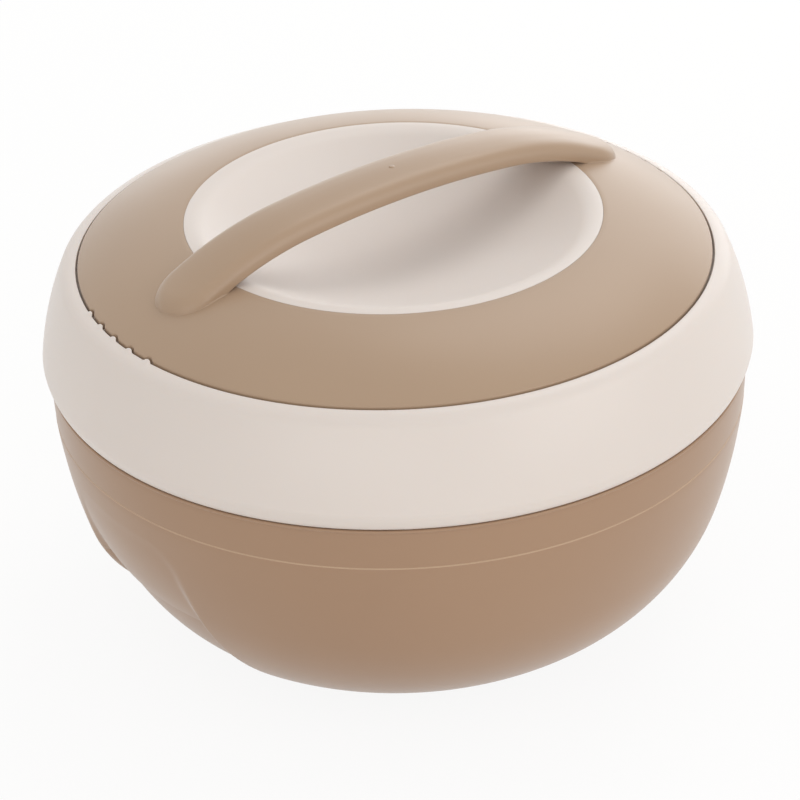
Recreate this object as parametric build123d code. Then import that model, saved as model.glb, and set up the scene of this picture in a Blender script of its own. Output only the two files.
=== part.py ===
from build123d import *
import os
from math import sin, cos, tan, asin, acos, radians, degrees, sqrt

# Insulated food bowl with a twist-lock, lift-off lid.
# Frame: millimetres, +Z up, origin at the centre of the foot's resting face,
# the lid's carrying handle runs along X.

# Bowl shell
rim_radius = 127.4                  # wall outside at the rim, just under the lid
rim_height = 103.4                  # shoulder that the lid's skirt stops over
wall_thickness = 2.6                # moulded plastic wall
upper_radius = 185.4                # radius of the gentle upper part of the wall
upper_sweep = 16.35                 # degrees of that upper part
foot_radius = 61.7                  # outside of the foot ring
foot_width = 8.0                    # resting face of the foot ring
floor_recess_depth = 3.0            # recess of the floor above the table
line_drop_height = 15.4             # fine step that runs round the wall, below the rim
line_step_height = 0.4              # how far the wall stands proud above that step
bead_radius = 0.5                   # bead under the lid
shoulder_width = 8.2                # from the rim to the neck
neck_height = 10.6                  # neck above the shoulder

# Finger scoops in the lower wall, one under each end of the handle
scoop_drop = 10.0                   # top of a scoop below the fine step
scoop_brow_height = 43.0            # height of the brow under which the fingers catch
scoop_brow_depth = 3.4              # depth of the scoop at that brow
scoop_under_depth = 4.8             # depth just under the brow
scoop_start_depth = 0.2             # fine edge of the scoop's upper outline
scoop_mid_depth = 1.0               # half way from the top to the brow
scoop_bend_depth = 3.3              # half way from the brow to the foot
scoop_under_height = 1.0            # height over which the brow turns in
scoop_top_half_width = 31.0         # half width at the top
scoop_foot_half_width = 40.0        # half width at the foot
scoop_corner_radius = 12.0
scoop_foot_height = 4.0             # height at which the scoop runs out into the wall
scoop_sector = 150.0                # degrees of the wall that the scoop's cutter spans
scoop_foam_gap = 1.2                # foam kept off the scoops' inner walls

# Steel liner
flange_width = 10.2                 # from the neck's outside to the liner's mouth
liner_thickness = 0.8
liner_taper = 3.9                   # degrees
liner_corner_radius = 45.0          # outside radius of the bottom corner
liner_gap = 11.4                    # foam under the liner

# Collar that ties shell and liner, with bayonet lugs
collar_thickness = 2.4
collar_skirt_thickness = 2.1
collar_cover_width = 0.4            # how far the collar's plate reaches in over the liner's mouth
collar_clearance = 2.6              # between the bowl's shoulder and the collar's skirt
collar_round_radius = 0.8
lug_count = 3
lug_span = 22.0                     # degrees
lug_reach_length = 2.6
lug_height = 2.5
lug_rise_height = 2.1               # collar lugs above the foot of the collar's skirt
lug_gap = 0.6                       # axial play between lid lugs and collar lugs
lug_room = 0.5                      # between the lid's lugs and the collar's skirt
lug_first = 0.0                     # degrees from the handle to the first lid lug
turn = 26.0                         # degrees clockwise from unlocked to locked

# Base
cap_margin_width = 4.7              # between the foot ring and the base cap
cap_thickness = 2.0
cap_recess_depth = 1.2              # for the screw heads
cap_chamfer_width = 0.6
fill_radius = 9.0                   # hole that the foam was poured through
fill_flange = 1.5
fill_fit = 0.1
cap_screw_inset_length = 11.0       # from the cap's edge to the screws
cap_screw_count = 3
cap_screw_first = 30.0              # degrees
cap_screw_length = 6.0
cap_boss_height = 5.5               # height of the screw bosses over the floor

# Lid shell: skirt, lip, deck and hollow under the handle
seam_gap_height = 0.6               # shadow gap between shoulder and lid skirt
lid_wall_thickness = 2.4
skirt_flare_width = 2.4             # widest radius of the skirt beyond the rim
skirt_kick_height = 5.9             # height over which the skirt flares to that radius
skirt_radius = 105.2                # radius of the skirt's upright curve
skirt_lean = 7.0                    # degrees inwards where that curve starts
skirt_sweep = 19.6                  # degrees
skirt_bulge_depth = 0.45
lip_width = 4.05                    # from the skirt's face to the lip's inner face, at the ring's edge
lip_rise_height = 0.15              # crest of the lip above the ring's edge
lip_tuck = 2.0                      # degrees that the skirt's inside stops short of the lip
ring_gap = 0.9                      # groove between the handle ring and the lip
opening_radius = 75.4               # hole in the handle ring
hollow_slope = 27.0                 # steepest slope of the hollow, degrees
hollow_lip_radius = 15.0            # radius of its rounded lip
hollow_gap = 0.5                    # between that lip and the handle ring
nub_angle = -124.4                  # index nub under the skirt, from the handle axis
nub_width = 3.0
nub_height = 0.35
nub_depth = 1.9

# Handle ring: dome and strap
dome_radius = 91.3
dome_edge_slope = 32.3              # degrees below the horizontal at the ring's edge
ring_thickness = 2.4
seat_gap = 0.2                      # under the ring and round the foam
strap_end_rise = 4.0                # crown line of the strap above the dome at its tips
strap_half_width = 12.0
strap_thickness = 7.4               # at the crown
strap_crown_radius = 60.0           # radius of the crowned top, across the strap
strap_shoulder_radius = 1.8         # shoulders of the strap
strap_edge_radius = 0.8             # rounding of its lower edges
strap_mid_radius = 400.0
strap_mid_sweep = 6.5               # degrees
strap_end_radius = 126.0
strap_end_slope = 24.6              # degrees
strap_inset_length = 15.0           # from the ring's edge to the strap's tip
flute_count = 5
flute_pitch = 4.85                  # degrees
flute_shift = -4.0                  # degrees, group centre from the handle axis
flute_radius = 2.3
flute_depth = 1.4
bump_rise_height = 0.6              # lid bumps in the flutes, above the ring's edge
bump_root_depth = 4.0               # and below it

# Screws
handle_screw_inset_length = 14.6    # from the ring's opening to the handle screws
handle_screw_y = 6.5
handle_screw_length = 9.5
boss_radius = 3.4
screw_radius = 1.5
screw_head_radius = 3.2
screw_head_height = 1.8
screw_head_round_radius = 0.7
screw_tip_chamfer = 0.5
cross_length = 3.2                  # recess for the driver
cross_width = 0.7
cross_depth = 0.8
thread_room = 0.05                  # hole radius over the shank where the screw bites
screw_room = 0.3                    # hole radius over the shank where the screw passes
head_room = 0.2                     # hole radius over the head
tip_room = 0.3                      # hole below the screw's tip
deck_boss_radius = 4.5
deck_boss_depth = 2.6               # below the deck's underside at the screw

# Lid liner, foam and seal
plug_gap = 1.4                      # between the lid liner's plug and the collar
plug_depth = 8.0
plug_corner_radius = 4.0
plug_rise_height = 5.0              # how much the liner's middle is domed up
post_set_width = 2.2                # outside of the post beyond the lip's inner face
post_wall_thickness = 2.4
lid_liner_thickness = 2.0
seal_clip_thickness = 1.7           # wall of the rim that holds the seal
seal_clip_gap = 0.8                 # between that rim and the collar
seal_inset_width = 3.0              # from the plug to the seal
seal_height = 3.2
seal_gap = 0.3

# Making
weld_depth = 0.5                    # one moulding's features run into each other by this much
cut_margin = 1.0                    # cuts run past the faces that they open by this much

# Values worked out from the ones above
upper_centre = (rim_radius - upper_radius, rim_height)
bend_normal = (cos(radians(upper_sweep)), -sin(radians(upper_sweep)))
bend = (upper_centre[0] + upper_radius * bend_normal[0],
        upper_centre[1] + upper_radius * bend_normal[1])
bend_to_foot = (bend[0] - foot_radius, bend[1])
lower_radius = ((bend_to_foot[0] ** 2 + bend_to_foot[1] ** 2)
                / (2 * (bend_to_foot[0] * bend_normal[0] + bend_to_foot[1] * bend_normal[1])))
lower_centre = (bend[0] - lower_radius * bend_normal[0], bend[1] - lower_radius * bend_normal[1])
line_height = rim_height - line_drop_height
scoop_top = line_height - scoop_drop
neck_radius = rim_radius - shoulder_width
neck_top = rim_height + neck_height
liner_mouth = neck_radius - flange_width
flange_top = neck_top + liner_thickness
collar_inner = liner_mouth - liner_thickness - collar_cover_width
collar_top = flange_top + collar_thickness
collar_low = rim_height + collar_clearance
collar_out = neck_radius + seat_gap + collar_skirt_thickness
lug_out = collar_out + lug_reach_length
lug_low = collar_low + lug_rise_height
floor_top = floor_recess_depth + wall_thickness
cap_seat = floor_recess_depth - cap_thickness + cap_recess_depth
lid_bottom = rim_height + seam_gap_height
skirt_out = rim_radius + skirt_flare_width
skirt_centre = (skirt_out - skirt_radius * cos(radians(skirt_lean)),
                lid_bottom + skirt_kick_height - skirt_radius * sin(radians(skirt_lean)))
skirt_end = skirt_lean + skirt_sweep
shoulder = (skirt_centre[0] + skirt_radius * cos(radians(skirt_end)),
            skirt_centre[1] + skirt_radius * sin(radians(skirt_end)))
lip_inner = shoulder[0] - lip_width
crest_height = shoulder[1] + lip_rise_height
to_lip = (lip_inner - skirt_centre[0], crest_height - skirt_centre[1])
lip_radius = ((skirt_radius ** 2 - to_lip[0] ** 2 - to_lip[1] ** 2)
              / (2 * (skirt_radius - to_lip[1])))
crest_centre = (lip_inner, crest_height - lip_radius)
crest_start = degrees(acos(to_lip[0] / (skirt_radius - lip_radius)))
ring_radius = lip_inner - ring_gap
ring_edge = shoulder[1]
dome_centre = (ring_radius - dome_radius * sin(radians(dome_edge_slope)),
               ring_edge - dome_radius * cos(radians(dome_edge_slope)))
strap_reach = ring_radius - strap_inset_length
handle_screw_x = opening_radius + handle_screw_inset_length
seal_bottom = collar_top + seal_gap
seal_top = seal_bottom + seal_height
flange_low = seal_top + seal_gap
liner_rim = lip_inner + post_set_width
plug_radius = collar_inner - plug_gap
seal_inner = plug_radius + seal_inset_width
seal_outer = liner_rim - seal_clip_thickness - seal_gap
hollow_edge = opening_radius - hollow_gap
deck_drop = ring_thickness + seat_gap
lip_start = degrees(acos((opening_radius - dome_centre[0]) / dome_radius))
lip_end = 90 + hollow_slope
lip_top_height = dome_centre[1] + dome_radius * sin(radians(lip_start))
lip_centre = (hollow_edge - hollow_lip_radius * cos(radians(lip_start)),
              lip_top_height - hollow_lip_radius * sin(radians(lip_start)))
dish_edge = (lip_centre[0] + hollow_lip_radius * cos(radians(lip_end)),
             lip_centre[1] + hollow_lip_radius * sin(radians(lip_end)))
dish_radius = dish_edge[0] / sin(radians(hollow_slope))
dish_centre = (0, dish_edge[1] + dish_radius * cos(radians(hollow_slope)))
screw_seat = (dome_centre[1] + sqrt((dome_radius - deck_drop - lid_wall_thickness) ** 2
                                    - (handle_screw_x - dome_centre[0]) ** 2) - deck_boss_depth)


strap_bend = (strap_mid_radius * sin(radians(strap_mid_sweep)),
              strap_mid_radius * (1 - cos(radians(strap_mid_sweep))))
strap_knee = (strap_bend[0] + strap_end_radius * (sin(radians(strap_end_slope))
                                                  - sin(radians(strap_mid_sweep))),
              strap_bend[1] + strap_end_radius * (cos(radians(strap_mid_sweep))
                                                  - cos(radians(strap_end_slope))))


def polar(centre, radius, angle):
    return (centre[0] + radius * cos(radians(angle)), centre[1] + radius * sin(radians(angle)))


def arc(centre, radius, start, end):
    return ThreePointArc(polar(centre, radius, start), polar(centre, radius, (start + end) / 2),
                         polar(centre, radius, end))


def turned(*edges):
    return revolve(Plane.XZ * make_face(Curve() + list(edges)), Axis.Z)


def turned_points(points):
    return revolve(Plane.XZ * make_face(Polyline(*points, close=True)), Axis.Z)


def wall_radius(height, inset=0.0):
    if height > bend[1]:
        centre, radius = upper_centre, upper_radius - inset
    else:
        centre, radius = lower_centre, lower_radius - inset
    return centre[0] + sqrt(radius ** 2 - (height - centre[1]) ** 2)


def wall_angle(height, inset=0.0):
    return degrees(asin((height - lower_centre[1]) / (lower_radius - inset)))


def upper_angle(height, inset=0.0):
    return degrees(asin((height - upper_centre[1]) / (upper_radius - inset)))


def bowl_volume(inset, bottom, top):
    # solid of the bowl's outline, moved inwards by inset
    low = (wall_radius(bottom, inset), bottom)
    high = (wall_radius(top, inset), top)
    return turned(
        Line((0, bottom), low),
        arc(lower_centre, lower_radius - inset, wall_angle(bottom, inset), -upper_sweep),
        arc(upper_centre, upper_radius - inset, -upper_sweep, upper_angle(top, inset)),
        Line(high, (0, top)), Line((0, top), (0, bottom)))


def scoop_cutter(grow):
    # one scoop: an arched outline seen from the side, as deep as the recess;
    # grow moves every face inwards to leave a wall behind the scoop
    half_top = scoop_top_half_width + grow
    half_foot = scoop_foot_half_width + grow
    outline = Polyline((-half_foot, -cut_margin), (-half_top, scoop_top + grow),
                       (half_top, scoop_top + grow), (half_foot, -cut_margin), close=True)
    face = make_face(outline)
    face = fillet(face.vertices().sort_by(Axis.Y)[-2:], scoop_corner_radius)
    arch = extrude(Plane.YZ.offset(lower_centre[0]) * face, rim_radius)

    def inside_wall(height, depth, shift=0.0):
        return (wall_radius(height) - depth - grow, height + shift)

    start = inside_wall(scoop_top, scoop_start_depth, grow)
    middle = inside_wall((scoop_top + scoop_brow_height) / 2, scoop_mid_depth)
    brow = inside_wall(scoop_brow_height, scoop_brow_depth, grow / 2)
    under = inside_wall(scoop_brow_height - scoop_under_height, scoop_under_depth, grow / 2)
    bend = inside_wall((scoop_brow_height + scoop_foot_height) / 2, scoop_bend_depth, grow / 2)
    low = inside_wall(scoop_foot_height, 0, grow)
    far = rim_radius + cut_margin
    foot = low[1] if grow == 0 else 0
    section = make_face(Curve() + [
        ThreePointArc(start, middle, brow), Line(brow, under), ThreePointArc(under, bend, low),
        *([] if grow == 0 else [Line(low, (low[0], foot))]), Line((low[0], foot), (far, foot)),
        Line((far, foot), (far, start[1])), Line((far, start[1]), start)])
    sector = revolve(Plane.XZ * section, Axis.Z, revolution_arc=scoop_sector)
    return arch & (Rotation(0, 0, -scoop_sector / 2) * sector)


def both_ends(solid):
    return [solid, Rotation(0, 0, 180) * solid]


foot_inner = foot_radius - foot_width
cap_radius = foot_inner - cap_margin_width


def cap_screw_places():
    return [Rotation(0, 0, cap_screw_first + 360 / cap_screw_count * i)
            * Pos(cap_radius - cap_screw_inset_length, 0, 0) for i in range(cap_screw_count)]


def upright(radius, low, high):
    return Pos(0, 0, low) * Cylinder(radius, high - low,
                                     align=(Align.CENTER, Align.CENTER, Align.MIN))


def tube(outer, inner, low, high):
    return upright(outer, low, high) - upright(inner, low, high)


def outer_shell():
    # thin-walled bowl, foot ring, neck and two finger scoops
    outside = bowl_volume(0, 0, rim_height)
    proud_low = polar(upper_centre, upper_radius + line_step_height, upper_angle(line_height))
    proud = turned(
        arc(upper_centre, upper_radius + line_step_height, upper_angle(line_height), 0),
        Line((rim_radius + line_step_height, rim_height), (rim_radius - wall_thickness, rim_height)),
        Line((rim_radius - wall_thickness, rim_height), (proud_low[0] - wall_thickness, proud_low[1])),
        Line((proud_low[0] - wall_thickness, proud_low[1]), proud_low))
    bead = turned_points([(rim_radius - wall_thickness, rim_height - 2 * bead_radius),
                          (rim_radius + line_step_height, rim_height - 2 * bead_radius),
                          (rim_radius + line_step_height + bead_radius / 2, rim_height - bead_radius),
                          (rim_radius + line_step_height, rim_height),
                          (rim_radius - wall_thickness, rim_height)])
    inside = bowl_volume(wall_thickness, floor_top, rim_height - wall_thickness)
    for cut in both_ends(scoop_cutter(0)):
        outside -= cut
    for cut in both_ends(scoop_cutter(wall_thickness)):
        inside -= cut
    shell = outside + proud + bead
    shell += tube(neck_radius, neck_radius - wall_thickness, rim_height - wall_thickness, neck_top)
    shell -= inside
    neck_low = rim_height - wall_thickness - cut_margin
    shell -= upright(neck_radius - wall_thickness, neck_low, neck_top + cut_margin)
    shell -= upright(foot_inner, -cut_margin, floor_recess_depth)
    shell -= upright(fill_radius, floor_recess_depth - cut_margin, floor_top + cut_margin)
    hole_top = cap_seat + cap_screw_length + tip_room
    for place in cap_screw_places():
        shell += place * upright(boss_radius, floor_top - weld_depth, floor_top + cap_boss_height)
        shell -= place * upright(screw_radius + thread_room, floor_recess_depth - cut_margin, hole_top)
    return shell


def base_cap():
    cap = upright(cap_radius, floor_recess_depth - cap_thickness, floor_recess_depth)
    cap = chamfer(cap.edges().group_by(Axis.Z)[0], cap_chamfer_width)
    for place in cap_screw_places():
        cap -= place * upright(screw_radius + screw_room, 0, floor_recess_depth + cut_margin)
        cap -= place * upright(screw_head_radius + head_room, 0, cap_seat)
    return cap


def pan_screw(length):
    # head below, shank upwards, cross recess in the head
    head = upright(screw_head_radius, -screw_head_height, 0)
    head = fillet(head.edges().group_by(Axis.Z)[0], screw_head_round_radius)
    shank = upright(screw_radius, 0, length)
    shank = chamfer(shank.edges().group_by(Axis.Z)[-1], screw_tip_chamfer)
    cross = (Box(cross_length, cross_width, 2 * cross_depth)
             + Box(cross_width, cross_length, 2 * cross_depth))
    return head + shank - Pos(0, 0, -screw_head_height) * cross


def cap_screws():
    screw = Pos(0, 0, cap_seat) * pan_screw(cap_screw_length)
    return Compound(children=[place * screw for place in cap_screw_places()])


def fill_plug():
    # closes the hole that the foam was poured through
    body = upright(fill_radius - fill_fit, floor_recess_depth + seat_gap, floor_top + fill_flange)
    flange = upright(fill_radius + fill_flange, floor_top + fill_fit, floor_top + fill_flange)
    return body + flange


def inner_liner():
    # deep-drawn steel bowl with a flat flange on the shell's neck
    cup = liner_volume(0, neck_top) - liner_volume(liner_thickness, flange_top + cut_margin)
    return cup + tube(neck_radius, liner_mouth - liner_thickness, neck_top, flange_top)


def liner_volume(inset, top):
    corner = liner_corner_radius - inset
    bottom = floor_top + liner_gap + inset
    tilt = radians(liner_taper)
    centre_height = floor_top + liner_gap + liner_corner_radius
    slant = (neck_top - centre_height - liner_corner_radius * sin(-tilt)) * tan(tilt)
    centre_radius = liner_mouth - slant - liner_corner_radius * cos(tilt)
    centre = (centre_radius, centre_height)
    turn_out = polar(centre, corner, -liner_taper)
    mouth = (turn_out[0] + (top - turn_out[1]) * tan(tilt), top)
    return turned(
        Line((0, bottom), (centre_radius, bottom)), arc(centre, corner, -90, -liner_taper),
        Line(turn_out, mouth), Line(mouth, (0, top)), Line((0, top), (0, bottom)))


def body_insulation():
    inset = wall_thickness + seat_gap
    foam = bowl_volume(inset, floor_top + seat_gap, rim_height - inset)
    for cut in both_ends(scoop_cutter(wall_thickness + scoop_foam_gap)):
        foam -= cut
    foam += upright(neck_radius - inset, rim_height - inset - weld_depth, neck_top - seat_gap)
    foam -= liner_volume(-seat_gap, neck_top + cut_margin)
    plug_room = fill_flange + seat_gap
    foam -= upright(fill_radius + plug_room, floor_top - cut_margin, floor_top + plug_room)
    boss_top = floor_top + cap_boss_height + seat_gap
    for place in cap_screw_places():
        foam -= place * upright(boss_radius + seat_gap, floor_top - cut_margin, boss_top)
    return foam


def lug_sector(outer, inner, low, high, middle, span):
    # part of a ring, span degrees wide
    half = span / 2
    face = make_face(Curve() + [
        arc((0, 0), outer, middle - half, middle + half),
        Line(polar((0, 0), outer, middle + half), polar((0, 0), inner, middle + half)),
        arc((0, 0), inner, middle + half, middle - half),
        Line(polar((0, 0), inner, middle - half), polar((0, 0), outer, middle - half))])
    return extrude(Pos(0, 0, low) * face, high - low)


def lug_middles():
    return [lug_first + 360 / lug_count * i for i in range(lug_count)]


def rim_collar():
    # plate over the liner's flange, skirt over the neck, lugs that the lid turns under
    plate = tube(collar_out, collar_inner, flange_top, collar_top)
    plate = fillet(plate.edges().group_by(Axis.Z)[-1], collar_round_radius)
    skirt = tube(collar_out, neck_radius + seat_gap, collar_low, flange_top)
    collar = plate + skirt
    for middle in lug_middles():
        collar += lug_sector(lug_out, collar_out - weld_depth, lug_low, lug_low + lug_height,
                             middle - turn, lug_span)
    return collar


def lid_lugs():
    # lugs inside the lid's skirt that pass under the collar's lugs
    high = lug_low - lug_gap
    inner = collar_out + lug_room
    return [lug_sector(rim_radius, inner, high - lug_height, high, middle, lug_span)
            for middle in lug_middles()]


def dome_point(radius, drop=0.0):
    return (radius, dome_centre[1] + sqrt((dome_radius - drop) ** 2 - (radius - dome_centre[0]) ** 2))


def strap_drop(x):
    # how far the strap's crown line lies below its highest point
    if x > strap_knee[0]:
        return strap_knee[1] + (x - strap_knee[0]) * tan(radians(strap_end_slope))
    centre_x = strap_bend[0] - strap_end_radius * sin(radians(strap_mid_sweep))
    centre_drop = strap_bend[1] + strap_end_radius * cos(radians(strap_mid_sweep))
    return centre_drop - sqrt(strap_end_radius ** 2 - (x - centre_x) ** 2)


crown_height = dome_point(strap_reach)[1] + strap_end_rise + strap_drop(strap_reach)


def dome_arc(start, end, drop=0.0):
    return ThreePointArc(dome_point(start, drop), dome_point((start + end) / 2, drop),
                         dome_point(end, drop))


def dome_ring(outer, inner, drop, thick):
    # ring that follows the dome, drop below its surface
    return turned(
        dome_arc(outer, inner, drop),
        Line(dome_point(inner, drop), dome_point(inner, drop + thick)),
        dome_arc(inner, outer, drop + thick),
        Line(dome_point(outer, drop + thick), dome_point(outer, drop)))


def hollow_edges(inset):
    # rounded lip and dished middle of the hollow, inset below its surface
    return [arc(lip_centre, hollow_lip_radius - inset, lip_start, lip_end),
            arc(dish_centre, dish_radius + inset, lip_end + 180, 270)]


def hollow_shell():
    outer_start = polar(lip_centre, hollow_lip_radius, lip_start)
    inner_start = polar(lip_centre, hollow_lip_radius - lid_wall_thickness, lip_start)
    axis_top = (0, dish_centre[1] - dish_radius)
    axis_low = (0, dish_centre[1] - dish_radius - lid_wall_thickness)
    outer_edges = hollow_edges(0)
    inner_edges = [arc(dish_centre, dish_radius + lid_wall_thickness, 270, lip_end + 180),
                   arc(lip_centre, hollow_lip_radius - lid_wall_thickness, lip_end, lip_start)]
    dish = turned(Line(inner_start, outer_start), *outer_edges, Line(axis_top, axis_low),
                  *inner_edges)
    deck = dome_point(hollow_edge, deck_drop + weld_depth)[1]
    return dish + tube(hollow_edge, hollow_edge - lid_wall_thickness, deck, outer_start[1])


def skirt_shell():
    # flared foot, leaning wall and rounded lip of the lid's cream band
    outer = [(rim_radius, lid_bottom), polar(skirt_centre, skirt_radius, skirt_lean)]
    inner = [(rim_radius - lid_wall_thickness, lid_bottom),
             polar(skirt_centre, skirt_radius - lid_wall_thickness, skirt_lean)]
    knees = [((low[0] + high[0]) / 2 + skirt_bulge_depth, (low[1] + high[1]) / 2)
             for low, high in (outer, inner)]
    deck_top = dome_point(lip_inner, deck_drop)
    deck_low = dome_point(lip_inner, deck_drop + lid_wall_thickness)
    inner_end = skirt_end - lip_tuck
    return turned(
        ThreePointArc(outer[0], knees[0], outer[1]),
        arc(skirt_centre, skirt_radius, skirt_lean, crest_start),
        arc(crest_centre, lip_radius, crest_start, 90),
        Line((lip_inner, crest_height), deck_top), Line(deck_top, deck_low),
        Line(deck_low, polar(skirt_centre, skirt_radius - lid_wall_thickness, inner_end)),
        arc(skirt_centre, skirt_radius - lid_wall_thickness, inner_end, skirt_lean),
        ThreePointArc(inner[1], knees[1], inner[0]), Line(inner[0], outer[0]))


def flute_places():
    # flutes in the ring's edge at both ends of the handle, mirrored left to right
    offsets = [flute_shift + flute_pitch * (i - (flute_count - 1) / 2) for i in range(flute_count)]
    radius = ring_radius + flute_radius - flute_depth
    angles = [-offset for offset in offsets] + [180 + offset for offset in offsets]
    return [Rotation(0, 0, angle) * Pos(radius, 0, 0) for angle in angles]


def handle_screw_places():
    return [Pos(x, y, 0) for x in (-handle_screw_x, handle_screw_x)
            for y in (-handle_screw_y, handle_screw_y)]


def lid_shell():
    shell = skirt_shell() + hollow_shell()
    shell += dome_ring(lip_inner + weld_depth, hollow_edge - weld_depth, deck_drop, lid_wall_thickness)
    post_top = dome_point(liner_rim - post_wall_thickness, deck_drop + weld_depth)[1]
    shell += tube(liner_rim, liner_rim - post_wall_thickness, flange_low + lid_liner_thickness, post_top)
    for lug in lid_lugs():
        shell += lug
    notches = tube(lip_inner + weld_depth, ring_radius - flute_depth, 0, crown_height)
    for place in flute_places():
        bump = place * upright(flute_radius - ring_gap / 2, ring_edge - bump_root_depth,
                               ring_edge + bump_rise_height)
        shell += bump & notches
    boss_top = dome_point(handle_screw_x, deck_drop + lid_wall_thickness / 2)[1]
    for place in handle_screw_places():
        shell += place * upright(deck_boss_radius, screw_seat, boss_top)
        shell -= place * upright(screw_radius + screw_room, 0, crown_height)
    nub = Pos(rim_radius - lid_wall_thickness / 2, 0, lid_bottom) * Box(nub_depth, nub_width, 2 * nub_height)
    return shell + Rotation(0, 0, nub_angle) * nub


def strap_path():
    # crown line of the strap: flat arc, tighter arc and a straight end on each side
    half = (strap_mid_sweep + strap_end_slope) / 2
    apex = (0, crown_height)
    bend_in = (strap_bend[0], crown_height - strap_bend[1])
    knee = (strap_knee[0], crown_height - strap_knee[1])
    way = (strap_bend[0] + strap_end_radius * (sin(radians(half)) - sin(radians(strap_mid_sweep))),
           bend_in[1] - strap_end_radius * (cos(radians(strap_mid_sweep)) - cos(radians(half))))
    tip_x = max(strap_reach, strap_knee[0]) + strap_shoulder_radius
    tip = (tip_x, knee[1] - (tip_x - knee[0]) * tan(radians(strap_end_slope)))

    def left(point):
        return (-point[0], point[1])

    return Curve() + [
        Line(left(tip), left(knee)), ThreePointArc(left(knee), left(way), left(bend_in)),
        ThreePointArc(left(bend_in), apex, bend_in), ThreePointArc(bend_in, way, knee),
        Line(knee, tip)]


def strap_section():
    # crowned top, rounded shoulders, flat underside; the crown is at the local origin
    flat = (strap_half_width - strap_shoulder_radius) / (1 - strap_shoulder_radius / strap_crown_radius)
    lean = degrees(asin(flat / strap_crown_radius))
    crown = (0, -strap_crown_radius)
    turn_in = polar(crown, strap_crown_radius - strap_shoulder_radius, 90 - lean)
    turn_out = (-turn_in[0], turn_in[1])
    low = -strap_thickness
    edge = strap_half_width - strap_edge_radius
    return make_face(Curve() + [
        Line((-edge, low), (edge, low)), arc((edge, low + strap_edge_radius), strap_edge_radius, -90, 0),
        Line((strap_half_width, low + strap_edge_radius), (strap_half_width, turn_in[1])),
        arc(turn_in, strap_shoulder_radius, 0, 90 - lean),
        arc(crown, strap_crown_radius, 90 - lean, 90 + lean),
        arc(turn_out, strap_shoulder_radius, 90 + lean, 180),
        Line((-strap_half_width, turn_in[1]), (-strap_half_width, low + strap_edge_radius)),
        arc((-edge, low + strap_edge_radius), strap_edge_radius, 180, 270)])


def handle_ring():
    # domed ring with the carrying strap moulded in one piece with it
    ring = dome_ring(ring_radius, opening_radius, 0, ring_thickness)
    for place in flute_places():
        ring -= place * upright(flute_radius, 0, crown_height)
    path = Plane.XZ * Wire(strap_path().edges())
    start = Plane(origin=path @ 0, x_dir=(0, 1, 0), z_dir=path % 0)
    strap = sweep(start * strap_section(), path)
    plan = extrude(SlotOverall(2 * strap_reach, 2 * strap_half_width), crown_height + cut_margin)
    below = turned(
        Line((opening_radius, 0), dome_point(opening_radius, ring_thickness)),
        dome_arc(opening_radius, ring_radius, ring_thickness),
        Line(dome_point(ring_radius, ring_thickness), (ring_radius, 0)),
        Line((ring_radius, 0), (opening_radius, 0)))
    ring += (strap & plan) - below
    hole_top = screw_seat + handle_screw_length + tip_room
    for place in handle_screw_places():
        ring -= place * upright(screw_radius + thread_room, 0, hole_top)
    return ring


def handle_screws():
    screw = pan_screw(handle_screw_length)
    return Compound(children=[place * Pos(0, 0, screw_seat) * screw for place in handle_screw_places()])


def plug_arc(lift, outwards=False):
    # domed middle of the inner lid, lift above its underside, drawn towards the axis
    bend = plug_radius - plug_corner_radius
    low = flange_low - plug_depth
    radius = (bend ** 2 + plug_rise_height ** 2) / (2 * plug_rise_height)
    centre = (0, low + plug_rise_height - radius)
    edge = 90 - degrees(asin(bend / radius))
    start, end = (90, edge) if outwards else (edge, 90)
    return arc(centre, radius + lift, start, end)


def lid_liner():
    # inner lid: plug that enters the bowl's mouth, flange and rim that hold the seal
    top = flange_low + lid_liner_thickness
    low = flange_low - plug_depth
    inner = plug_radius - lid_liner_thickness
    bend = plug_radius - plug_corner_radius
    clip = liner_rim - seal_clip_thickness
    clip_low = collar_top + seal_clip_gap
    return turned(
        Line((liner_rim, top), (liner_rim, clip_low)), Line((liner_rim, clip_low), (clip, clip_low)),
        Line((clip, clip_low), (clip, flange_low)), Line((clip, flange_low), (plug_radius, flange_low)),
        Line((plug_radius, flange_low), (plug_radius, low + plug_corner_radius)),
        arc((bend, low + plug_corner_radius), plug_corner_radius, 0, -90),
        plug_arc(0), Line(plug_arc(0) @ 1, plug_arc(lid_liner_thickness) @ 1),
        plug_arc(lid_liner_thickness, True),
        Line(plug_arc(lid_liner_thickness) @ 0, (inner, low + plug_corner_radius)),
        Line((inner, low + plug_corner_radius), (inner, top)), Line((inner, top), (liner_rim, top)))


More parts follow.
